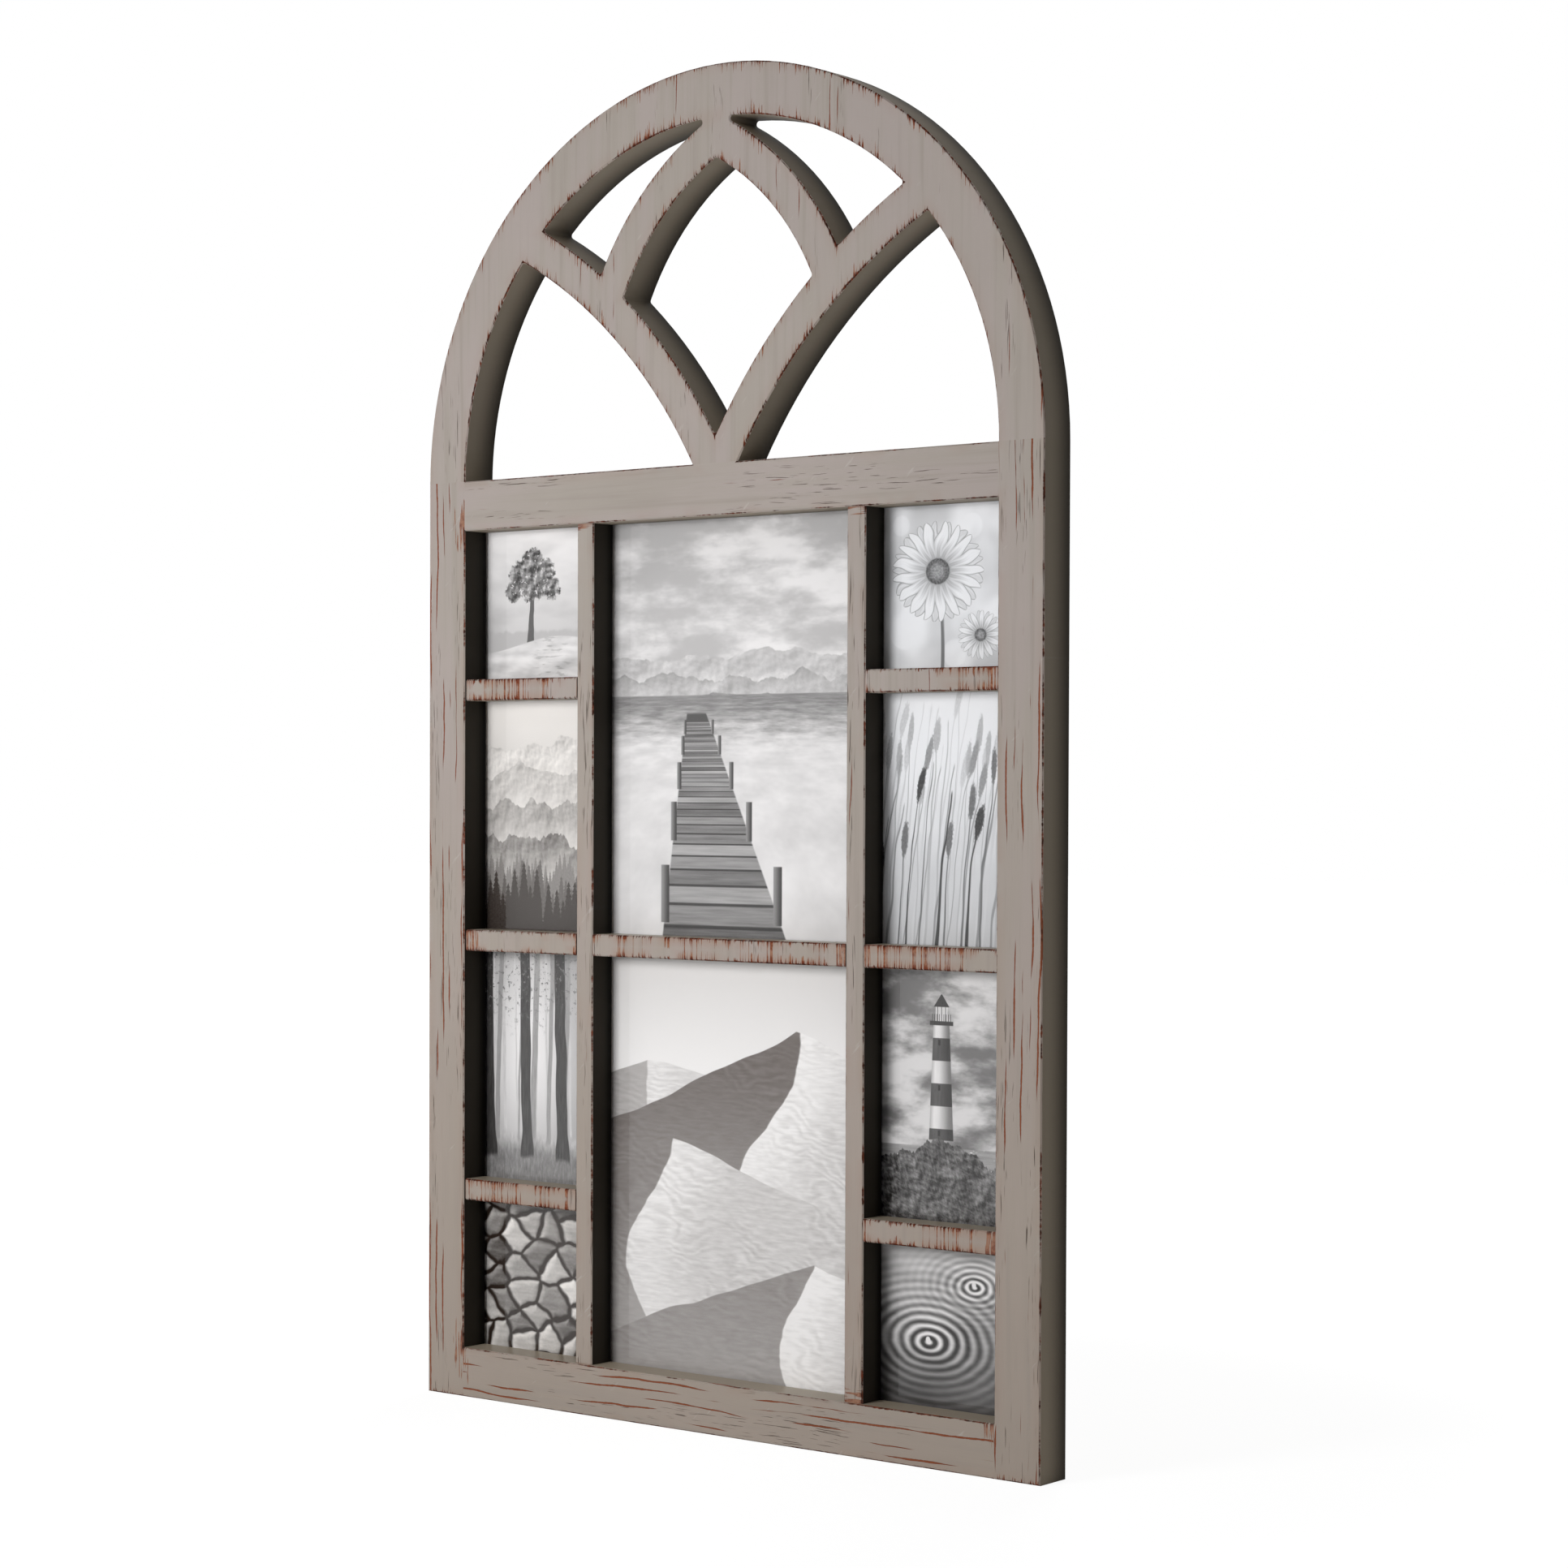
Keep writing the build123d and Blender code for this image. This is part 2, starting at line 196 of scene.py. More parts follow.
def paint_over(start, end, share):
    """Colour mix: start where share is 0, end where it is 1."""
    tree = share.tree
    node = tree.nodes.new("ShaderNodeMix")
    node.data_type = "RGBA"
    feed(node.inputs["Factor"], share)
    feed(node.inputs[6], start)
    feed(node.inputs[7], end)
    return Num(tree, node.outputs[2])


def shade(colour, level):
    """Colour times a number."""
    tree = level.tree
    node = tree.nodes.new("ShaderNodeVectorMath")
    node.operation = "SCALE"
    feed(node.inputs[0], colour)
    feed(node.inputs["Scale"], level)
    return Num(tree, node.outputs[0])


# Materials

def new_material(name):
    """A material with a Principled shader, and its tree."""
    material = bpy.data.materials.new(name)
    material.use_nodes = True
    tree = material.node_tree
    return material, tree, tree.nodes["Principled BSDF"]


def coordinates(tree):
    """x, y and z in millimetres in the frame's axes."""
    source = tree.nodes.new("ShaderNodeTexCoord")
    split = tree.nodes.new("ShaderNodeSeparateXYZ")
    tree.links.new(source.outputs["Object"], split.inputs[0])
    return [Num(tree, socket) * 1000.0 for socket in split.outputs]


def facing(tree):
    """The surface normal's x, y and z in the frame's axes."""
    source = tree.nodes.new("ShaderNodeTexCoord")
    split = tree.nodes.new("ShaderNodeSeparateXYZ")
    tree.links.new(source.outputs["Normal"], split.inputs[0])
    return [Num(tree, socket) for socket in split.outputs]


def add_bump(tree, shader, height, strength=1.0):
    """Bump from a height in millimetres."""
    node = tree.nodes.new("ShaderNodeBump")
    node.inputs["Strength"].default_value = strength
    node.inputs["Distance"].default_value = 0.001
    feed(node.inputs["Height"], height)
    tree.links.new(node.outputs["Normal"], shader.inputs["Normal"])


def mix_shaders(tree, output, first, second, share):
    """Shows first where share is 0 and second where it is 1."""
    mix = tree.nodes.new("ShaderNodeMixShader")
    feed(mix.inputs[0], share)
    tree.links.new(first.outputs[0], mix.inputs[1])
    tree.links.new(second.outputs[0], mix.inputs[2])
    tree.links.new(mix.outputs[0], tree.nodes[output].inputs["Surface"])


# Distances to the nearest edge of the wood, positive on the wood

def frame_edges(x, z):
    """Distance to the outline of the frame, to its glazed field or to the openings of the arch."""
    side = abs(x)
    rise = z - spring_z
    outline = least(half_width - hypot(side, most(rise, 0.0)), z - bottom_z)
    field = most(side - field_x, z - field_top, field_bottom - z)
    low = hypot(side - lower_band_centre[0], rise - lower_band_centre[1])
    high = hypot(side - upper_band_centre[0], rise - upper_band_centre[1])
    inside = hypot(side, rise) - field_x
    diamond = most(high - upper_band_inner, lower_band_outer - low)
    spandrel = most(rounded_most(inside, upper_band_outer - high), lower_band_outer - low)
    quarter = most(inside, low - lower_band_inner, -rise)
    return least(outline, field, diamond, spandrel, quarter)


def frame_corners(x, z):
    """Distance to the nearest corner of the glazed field."""
    return hypot(abs(x) - field_x, least(abs(z - field_top), abs(z - field_bottom)) * 0.5)


def mullion_edges(x, z):
    side = abs(x)
    return least(mullion_out - side, side - mullion_in)


def mullion_ends(x, z):
    return least(field_top - z, z - field_bottom)


def muntin_edges(level):
    low, high = box_mm("left_muntin_" + level)
    return lambda x, z: least(high.z - z, z - low.z)


def muntin_ends(x, z):
    side = abs(x)
    return most(mullion_in - side, least(side - mullion_out, field_x - side))


# Worn paint on the wood

PAINT_PINK = srgb(169, 159, 154)
PAINT_TAN = srgb(165, 157, 149)
PAINT_DULL = srgb(153, 144, 137)
PAINT_WARM = srgb(160, 148, 137)
SCUFF_PALE = srgb(190, 184, 180)
# Olive tint of the painted shade on the walls
SHADED_WALL_OLIVE = srgb(164, 151, 130)
WEAR_TAN = srgb(154, 110, 86)
WEAR_ORANGE = srgb(136, 80, 57)
WEAR_RUST = srgb(116, 62, 44)
WEAR_DARK = srgb(56, 34, 27)
SLIT_DARK = srgb(72, 60, 52)

# Lengths of the wear
arris_reach = 1.8
bare_reach = 12.0
crack_pitch = 5.5
crack_width = 0.75

# Painted shade on the walls: the share of light that it leaves, at the front rim and deep down
painted_shade_rim = 1.0
painted_shade_deep = 0.05
# Painted shade deep in the recesses round the panes, at the front rim and deep down
rabbet_shade_rim = 0.1
rabbet_shade_deep = 0.02

# Share of olive tint in the painted shade on the walls
shaded_wall_olive_share = 0.7
paint_specular = 0.05
worn_roughness = 0.8
ledge_roughness = 0.28


def worn_patches(x, z, seed, cover):
    """1 in the worn patches, which take up more of the wood as cover grows."""
    start = 0.62 - 0.3 * cover
    return smooth(noise(x * 0.03, z * 0.03, seed, 2.0), start, start + 0.12)


def drips(x, z, upright, edges, seed, patch, longest, few):
    """Teeth of worn paint that run from an edge along the grain, in long clusters in the worn patches."""
    across, along = (x, z) if upright else (z, x)
    teeth = smooth(noise(across, along * 0.01, seed + 7.0, 3.0, 0.65), 0.46, 0.74)
    cluster = smooth(noise(across * 0.13, along * 0.01, seed + 9.0, 2.0), 0.36, 0.56)
    reach = teeth * blend(few, cluster, patch) * longest
    if upright:
        ahead, behind = edges(x, z + reach), edges(x, z - reach)
    else:
        ahead, behind = edges(x + reach, z), edges(x - reach, z)
    return within(least(ahead, behind), 0.15) * smooth(reach, 0.2, 0.6)


def worn_arris(x, z, arris, ragged, seed):
    """A thin broken line of wear along every arris."""
    run = smooth(noise(x * 0.04, z * 0.04, seed + 17.0, 2.0), 0.3, 0.6)
    return within(arris - ragged * run * arris_reach + 0.2, 0.25)


def bare_ends(x, z, ends, seed, flat_ends):
    """Bare patches at ends and corners, streaked upright, or level where flat_ends is set."""
    across, along = (z, x) if flat_ends else (x, z)
    comb = smooth(noise(across * 0.7, along * 0.04, seed + 19.0, 2.0), 0.35, 0.7)
    likely = smooth(noise(x * 0.013, z * 0.013, seed + 21.0, 0.0), 0.35, 0.6)
    return within(ends(x, z) - comb * likely * bare_reach, 1.0)


def dark_slits(x, z, across, along, seed, slits):
    """Fine open slits along the grain."""
    wander = across + (noise(x * 0.02, z * 0.02, seed + 22.0, 2.0) - 0.5) * 5.0
    place = noise(across * 0.06, along * 0.006, seed + 23.0, 1.0)
    slit = noise(wander * 1.1, along * 0.028, seed + 29.0, 2.0, 0.65)
    start = 0.66 - 0.2 * slits
    return smooth(slit, 0.62, 0.66) * smooth(place, start, start + 0.06)


def rust_cracks(x, z, across, along, ragged, seed, cracks):
    """Broken lines along the grain where the paint has split down to the primer.

    They are longer near the outer sides. Gives 1 in a crack, and then 1 along its core.
    """
    lane = (across + (noise(x * 0.012, z * 0.012, seed + 31.0, 3.0) - 0.5) * 8.0) / crack_pitch
    number = calc("FLOOR", lane)
    aside = abs(lane - number - 0.5) * crack_pitch
    broken = noise(along * 0.009 + number * 17.3, number * 5.1, seed + 33.0, 3.0)
    gathered = noise(x * 0.01, z * 0.01, seed + 35.0, 1.0) * 0.2
    near_rim = smooth(abs(x), half_width - 22.0, half_width - 10.0) * 0.06
    start = 0.79 - 0.14 * cracks
    run = smooth(broken + gathered + near_rim, start, start + 0.1)
    inside = (0.2 + ragged) * run * crack_width - aside
    return smooth(inside, -0.15, 0.1) * smooth(run, 0.0, 0.3), smooth(inside, 0.0, 0.35)


def paint_colour(x, z, across, along, fibre, seed):
    """Sound paint: streaked along the grain, warmer low down, with pale scuffs."""
    broad = noise(across * 0.04, along * 0.006, seed + 39.0, 2.0)
    streak = noise(across * 0.2, along * 0.006, seed + 41.0, 3.0)
    cloud = noise(x * 0.012, z * 0.012, seed + 43.0, 2.0)
    scuff = smooth(noise((x + z) * 0.03, (z - x) * 0.16, seed + 45.0, 3.0), 0.68, 0.78)
    colour = paint_over(PAINT_PINK, PAINT_TAN, smooth(broad * 0.6 + streak * 0.4, 0.38, 0.62))
    colour = paint_over(colour, PAINT_WARM, within(z + 250.0, 300.0) * 0.8)
    colour = paint_over(colour, PAINT_DULL, smooth(streak, 0.5, 0.75) * 0.5)
    colour = shade(colour, 0.94 + 0.1 * fibre + 0.1 * cloud)
    return paint_over(colour, SCUFF_PALE, scuff * 0.5)


def worn_colour(across, along, arris, ragged, seed):
    """Worn places: dark at the arris, then rust, then tan."""
    depth = smooth(arris + noise(across * 0.9, along * 0.2, seed + 47.0) * 4.0 - 1.6, 0.0, 3.5)
    colour = paint_over(WEAR_DARK, WEAR_RUST, smooth(depth, 0.0, 0.45))
    return paint_over(colour, WEAR_TAN, smooth(depth * ragged, 0.3, 0.6))


def painted_wall_shade(x, y, z, front):
    """Painted shade on the outer sides and the walls of the openings, darker towards the back.

    It is darkest on the upright walls deep round the panes, and leaves out the ledges under them. Gives
    the share of light that the painted shade leaves, then 1 on front faces, then 1 on those ledges.
    """
    nx, ny, nz = facing(x.tree)
    wall = 1.0 - smooth(abs(ny), 0.3, 0.6)
    inward = (y - front) / (-front)
    in_field = within(abs(x) - field_x - 1.0, 0.2) * within(z - field_top - 1.0, 0.2)
    upright = smooth(abs(nx), 0.6, 0.8) * in_field
    ledge = smooth(nz, 0.6, 0.8) * in_field
    # Painted shade: walls darken towards the back, and most deep in the recesses round the panes
    rabbet_shade = blend(rabbet_shade_rim, rabbet_shade_deep, smooth(inward, 0.45, 0.76))
    painted_shade = blend(painted_shade_rim, painted_shade_deep, smooth(inward, 0.15, 1.15)) * blend(1.0, rabbet_shade, upright)
    return blend(1.0, blend(painted_shade, 1.0, ledge), wall), smooth(-ny, 0.4, 0.65), ledge


def painted_wood(
    name,
    edges,
    ends,
    seed,
    upright=True,
    front=front_y,
    drip=6.0,
    few=0.3,
    cover=0.5,
    thin=0.15,
    slits=0.5,
    cracks=0.3,
    flat_ends=False,
):
    """Taupe paint over red-brown primer, worn through along the edges.

    edges and ends give the distance to the nearest edge and to the nearest end or corner of the wood.
    drip is the longest drip in millimetres, and few the share of that length outside the worn patches.
    cover, slits and cracks say how much of the wood has worn patches, slits and cracks.
    thin is how far the primer shows through the paint in the worn patches.
    """
    material, tree, shader = new_material(name)
    x, y, z = coordinates(tree)
    across, along = (x, z) if upright else (z, x)
    arris = most(edges(x, z), y - front)
    # Painted shade on the walls, darker towards the back and deep round the panes; none on front faces or
    # ledges
    painted_shade, on_front, on_ledge = painted_wall_shade(x, y, z, front)
    ragged = noise(x * 0.3, z * 0.3, seed + 13.0, 3.0, 0.65)
    fibre = noise(across * 3.5, along * 0.05, seed + 37.0, 3.0, 0.6)

    slit = dark_slits(x, z, across, along, seed, slits) * on_front
    crack, core = rust_cracks(x, z, across, along, ragged, seed, cracks)
    crack = crack * on_front
    patch = worn_patches(x, z, seed, cover)
    drip_wear = drips(x, z, upright, edges, seed, patch, drip, few) * on_front
    end_wear = bare_ends(x, z, ends, seed, flat_ends) * on_front
    wear = most(drip_wear, worn_arris(x, z, arris, ragged, seed), end_wear * 0.85)

    colour = paint_colour(x, z, across, along, fibre, seed)
    colour = paint_over(colour, WEAR_TAN, patch * within(arris - 3.0, 6.0) * on_front * thin)
    colour = paint_over(colour, SLIT_DARK, slit * 0.85)
    colour = paint_over(colour, paint_over(WEAR_RUST, WEAR_ORANGE, core), crack)
    colour = paint_over(colour, worn_colour(across, along, arris, ragged, seed), wear)
    # Walls take an olive tint, then the painted shade darkens them towards the back
    colour = paint_over(SHADED_WALL_OLIVE, colour, blend(1.0 - shaded_wall_olive_share, 1.0, most(on_front, wear)))
    tree.links.new(shade(colour, painted_shade).socket, shader.inputs["Base Color"])

    wear = most(wear, crack)
    roughness = blend(0.5 + 0.12 * fibre, worn_roughness, wear)
    feed(shader.inputs["Roughness"], blend(roughness, ledge_roughness, on_ledge))
    shader.inputs["Specular IOR Level"].default_value = paint_specular
    add_bump(tree, shader, fibre * 0.05 - wear * 0.18 - slit * 0.25, 0.7)
    return material


def dress(material, *names):
    """Gives CAD nodes a material."""
    for name in names:
        slots = nodes[name].data.materials
        slots.clear()
        slots.append(material)


def dress_wood():
    arch = painted_wood(
        "arch_paint", frame_edges, frame_corners, 1.0, drip=10.0, few=0.55, cover=0.9, cracks=0.4
    )
    dress(arch, "arch_panel")
    stiles = painted_wood(
        "stile_paint", frame_edges, frame_corners, 2.0, few=0.45, cover=0.8, slits=0.9, cracks=1.05
    )
    dress(stiles, "left_stile", "right_stile")
    for rail, seed, cracks in (("top_rail", 3.0, 0.5), ("bottom_rail", 4.0, 1.5)):
        paint = painted_wood(
            rail + "_paint", frame_edges, frame_corners, seed, upright=False, slits=0.6, cracks=cracks
        )
        dress(paint, rail)
    mullions = painted_wood(
        "mullion_paint", mullion_edges, mullion_ends, 5.5, front=bar_front_y, slits=0.8, flat_ends=True
    )
    dress(mullions, "left_mullion", "right_mullion")
    for number, level in enumerate(("upper", "middle", "lower")):
        paint = painted_wood(
            "muntin_paint_" + level,
            muntin_edges(level),
            muntin_ends,
            6.5 + number,
            front=bar_front_y,
            drip=18.0,
            few=0.15,
            cover=0.7,
            thin=0.45,
        )
        dress(paint, "left_muntin_" + level, "right_muntin_" + level)
        if level == "middle":
            dress(paint, "centre_muntin")


# Prints: plain outdoor motifs in black and white. A tone runs from 0, black, to 1, white.

def chance(column, seed):
    """A steady random number from 0 to 1 for each whole number."""
    return smooth(noise(column * 7.31, column * 3.17, seed, 0.0), 0.25, 0.75)


def relief(height, x, z, step):
    """Light from the upper left on a surface of the given height, above 0 where it faces the light."""
    return height(x, z) - height(x - step, z + step)


def bars(place, pitch, width, seed):
    """1 on upright bars of uneven width and spacing."""
    column = calc("FLOOR", place / pitch)
    middle = column + 0.3 + 0.4 * chance(column, seed)
    half = width / 2 * (0.5 + chance(column, seed + 1.0))
    return within(abs(place - middle * pitch) - half, 0.4)


def lone_tree(x, z):
    cloud = smooth(noise(x * 0.02, z * 0.05, 3.0, 3.0), 0.4, 0.7)
    tone = blend(0.8, 0.98, smooth(z, -30.0, 45.0)) - 0.12 * cloud
    far_wood = -21.0 + noise(x * 0.14, 0.0, 4.0, 4.0) * 9.0
    tone = blend(tone, 0.7, within(z - far_wood, 1.2))
    trunk_x = x + 9.0 - 0.05 * z + (noise(z * 0.06, 0.0, 6.0) - 0.5) * 3.0
    trunk_half = 1.5 + 0.0012 * (z - 12.0) * (z - 12.0)
    trunk = within(abs(trunk_x) - trunk_half, 0.3) * within(abs(z + 6.0) - 24.0, 0.6)
    tone = blend(tone, 0.22, trunk)
    edge = noise(x * 0.22, z * 0.22, 5.0, 5.0, 0.75)
    gaps = smooth(noise(x * 0.3, z * 0.3, 9.0, 4.0, 0.7), 0.36, 0.44)
    lobes = (
        (-9.0, 27.0, 9.0),
        (-19.0, 19.0, 9.0),
        (1.0, 20.0, 9.0),
        (-25.0, 9.0, 7.0),
        (8.0, 10.0, 7.0),
        (-9.0, 14.0, 12.0),
    )
    spans = [hypot(x - lobe_x, z - lobe_z) / size for lobe_x, lobe_z, size in lobes]
    crown = within(least(*spans) - 0.35 - 1.25 * edge, 0.1) * gaps
    clump = relief(lambda u, v: noise(u * 0.13, v * 0.13, 10.0, 5.0, 0.6), x, z, 1.6)
    tone = blend(tone, 0.34 + clump * 2.2, crown)
    hill = -25.0 + calc("SINE", x * 0.045 + 0.9) * 5.0
    drift = relief(lambda u, v: noise(u * 0.025, v * 0.07, 11.0, 3.0), x, z, 3.0)
    furrow = smooth(noise(x * 0.1, z * 0.5, 13.0, 3.0), 0.55, 0.65) * within(abs(x - 8.0) - 14.0, 8.0)
    return blend(tone, 0.87 + drift * 0.9 - furrow * 0.2, within(z - hill, 0.5))


def mountains(x, z):
    tone = blend(0.86, 0.98, smooth(z, 10.0, 72.0)) - 0.08 * noise(x * 0.02, z * 0.06, 18.0, 3.0)
    ranges = (
        (44.0, 0.022, 0.84, 0.96),
        (28.0, 0.03, 0.72, 0.94),
        (8.0, 0.04, 0.58, 0.88),
        (-14.0, 0.05, 0.44, 0.8),
    )
    for number, (height, step, peak, foot) in enumerate(ranges):
        ridge = height + (noise(x * step, 0.0, 20.0 + number * 3.0, 6.0, 0.55) - 0.5) * 46.0
        haze = smooth(ridge - z, 0.0, 36.0)
        crag = relief(lambda u, v: noise(u * 0.05, v * 0.04, 26.0 + number, 6.0, 0.6), x, z, 1.5)
        slope = blend(peak, foot, haze) + crag * blend(1.6, 0.2, haze)
        tone = blend(tone, slope, within(z - ridge, 0.3))
    woods = ((-46.0, 6.0, 0.42), (-58.0, 8.0, 0.28), (-70.0, 11.0, 0.12))
    for number, (base, pitch, level) in enumerate(woods):
        for shift in (0.0, 0.5):
            column = calc("FLOOR", x / pitch + shift)
            middle = column + 0.5 - shift + 0.4 * (chance(column, 28.0 + shift) - 0.5)
            tip = base + pitch * (1.2 + 2.6 * chance(column, 30.0 + number + shift))
            drop = tip - z
            tier = calc("FRACT", drop / (pitch * 0.3))
            ragged = 0.7 + 0.6 * noise(x * 0.9, z * 0.9, 33.0, 3.0)
            half = (drop * 0.17 + tier * pitch * 0.09) * ragged
            fir = within(abs(x - middle * pitch) - half, 0.25) * within(-drop, 0.3)
            needles = 0.16 * (noise(x * 0.8, z * 0.8, 35.0, 3.0) - 0.5)
            tone = blend(tone, level + needles, most(fir, within(z - base, 2.0)))
    return tone


def misty_trunks(x, z):
    glow = smooth(hypot(x + 10.0, (z - 10.0) * 0.6), 0.0, 62.0)
    tone = blend(0.98, 0.58, glow)
    ground = -50.0 + noise(x * 0.05, 0.0, 49.0, 4.0) * 12.0
    moss = noise(x * 0.5, z * 0.16, 51.0, 4.0, 0.65)
    earth = 0.3 + 0.5 * (moss - 0.3) + 0.3 * smooth(ground - z, 14.0, 0.0)
    tone = blend(tone, earth, within(z - ground, 3.0))
    rows = ((9.0, 1.8, 0.76, 0.02, 6.0), (14.0, 3.4, 0.5, -0.03, 0.0), (33.0, 9.0, 0.1, 0.02, -10.0))
    for number, (pitch, width, level, lean, foot) in enumerate(rows):
        bend = x + z * lean + (noise(z * 0.03, x * 0.02, 38.0 + number, 1.0) - 0.5) * 3.0
        flare = 1.0 + 0.35 * smooth(-z, 40.0, 64.0 + foot)
        trunk = bars(bend, pitch, width * flare, 40.0 + 5.0 * number)
        trunk = trunk * within(ground - 4.0 + foot - z, 2.0)
        bark = noise(x * 0.8, z * 0.09, 47.0, 4.0, 0.65)
        tone = blend(tone, level + (bark - 0.4) * 0.3, trunk)
    leaf = noise(x * 0.3, z * 0.3, 53.0, 5.0, 0.75)
    leaves = smooth(leaf, 0.56, 0.6) * smooth(z + 30.0 * noise(x * 0.03, z * 0.03, 54.0), 25.0, 70.0)
    return blend(tone, 0.35, leaves)


def cracked_clay(x, z):
    size = 21.0
    bend_x = (x + noise(x * 0.05, z * 0.05, 55.0) * 10.0) / size
    bend_z = (z + noise(x * 0.05, z * 0.05, 56.0) * 10.0) * 1.35 / size
    # A random level for each plate of clay
    pick = cells(bend_x, bend_z, "F1", "Color")

    def dome(u, v):
        gap = cells(u, v, "DISTANCE_TO_EDGE", "Distance")
        return calc("SQRT", smooth(gap, -0.12, 0.3))

    height = dome(bend_x, bend_z)
    lit = relief(dome, bend_x, bend_z, 0.07)
    speckle = noise(x * 0.7, z * 0.7, 57.0, 4.0, 0.65)
    layer = noise(x * 0.05 + pick * 9.0, z * 0.3 + pick * 5.0, 58.0, 3.0)
    plate = blend(0.18, 0.92, pick) + (speckle - 0.5) * 0.24 + (layer - 0.5) * 0.35
    return plate * smooth(height, 0.5, 0.85) + lit * 0.9


def lake_jetty(x, z):
    horizon = 20.0
    cloud = noise(x * 0.012, z * 0.03, 60.0, 6.0, 0.58)
    tone = blend(0.7, 0.98, smooth(cloud, 0.4, 0.6)) - 0.1 * smooth(z, 60.0, 130.0)
    for number, (height, level) in enumerate(((62.0, 0.74), (38.0, 0.54), (15.0, 0.3))):
        course = noise(x * 0.012 * (1 + number), 0.0, 64.0 + 4.0 * number, 6.0, 0.55)
        ridge = horizon - 8.0 + height * course
        crag = relief(lambda u, v: noise(u * 0.04, v * 0.05, 66.0 + number, 6.0, 0.6), x, z, 2.0)
        haze = smooth(z, horizon, horizon + 18.0)
        tone = blend(tone, blend(level + 0.2, level, haze) + crag, within(z - ridge, 0.5))
    depth = horizon - z
    ripple = noise(x * 0.4 / (6.0 + 0.1 * depth), 120.0 / (6.0 + 0.25 * depth), 70.0, 4.0, 0.6)
    mirror = smooth(depth + (ripple - 0.5) * 26.0, 2.0, 34.0)
    tone = blend(tone, blend(0.44, 0.9, mirror) + (ripple - 0.5) * 0.4, within(z - horizon, 0.4))

    def deck_side(reach):
        return 3.0 + reach * 0.3

    def deck_middle(reach):
        return -34.0 + reach * 0.16

    away = depth + 4.0
    on_deck = within(abs(x - deck_middle(away)) - deck_side(away), 0.7)
    tone = blend(tone, 0.18, on_deck * within(abs(z - horizon + 14.0) - 3.0, 0.8))
    board = 1500.0 / (away + 6.0)
    seam = within(calc("PINGPONG", board, 0.5) - 0.07, 0.04)
    grain = noise(x * 0.03, z * 0.5, 75.0, 4.0)
    plank = 0.26 + 0.34 * chance(calc("FLOOR", board), 74.0) + 0.36 * (grain - 0.5)
    tone = blend(tone, plank * blend(1.0, 0.2, seam), on_deck * within(z - horizon + 16.0, 0.5))
    for post_z in (-112.0, -64.0, -34.0, -14.0, -2.0):
        reach = horizon + 4.0 - post_z
        thick = 0.5 + reach * 0.02
        tall = 2.0 + reach * 0.2
        for side in (-1.0, 1.0):
            post_x = deck_middle(reach) + side * deck_side(reach)
            post = within(abs(x - post_x) - thick, 0.4)
            post = post * within(abs(z - post_z - tall * 0.4) - tall * 0.6, 0.4)
            round_tone = blend(0.46, 0.08, smooth(x, post_x - thick, post_x + thick))
            tone = blend(tone, round_tone, post)
    return tone


def dunes(x, z):
    tone = blend(1.0, 0.86, smooth(z, 40.0, 130.0))
    ridges = (
        (-70.0, 62.0, 0.30, 0.16, 0.9, 0.6),
        (46.0, 84.0, 0.42, 0.36, 0.97, 0.24),
        (-52.0, 16.0, 0.5, 0.3, 0.93, 0.36),
        (60.0, -52.0, 0.34, 0.3, 1.0, 0.42),
    )
    for number, (peak_x, peak_z, fall_left, fall_right, lit, dark) in enumerate(ridges):
        seed = 80.0 + 5.0 * number
        aside = x - peak_x
        fall = most(aside * fall_right, aside * -fall_left)
        crest = peak_z - fall + (noise(x * 0.012, 0.0, seed) - 0.5) * 18.0
        drop = crest - z
        down = most(peak_z - z, 0.0)
        edge_x = peak_x - down * 0.3 + calc("SINE", down * 0.045 + number) * (4.0 + down * 0.16)
        edge_x = edge_x + (noise(z * 0.05, 0.0, seed + 1.0) - 0.5) * 8.0
        sunny = smooth(x - edge_x, -0.8, 0.8)
        bend = noise(x * 0.02, z * 0.03, seed + 2.0, 3.0) * 60.0
        wave = calc("SINE", (z + x * 0.25 + bend) * (1.1 - 0.12 * number))
        fine = noise(x * 0.09, z * 0.5, seed + 3.0, 4.0, 0.6)
        waved = smooth(noise(x * 0.02, z * 0.02, seed + 4.0), 0.35, 0.6)
        ripple = wave * 0.05 * waved + (fine - 0.5) * 0.36
        bright = blend(lit - 0.16, lit, smooth(x - edge_x, 70.0, 0.0)) + ripple
        shadow = blend(dark, dark + 0.25, smooth(down, 0.0, 150.0)) + ripple * 0.5
        body = blend(shadow, bright, sunny)
        tone = blend(tone, body, within(-drop, 0.4))
    return tone


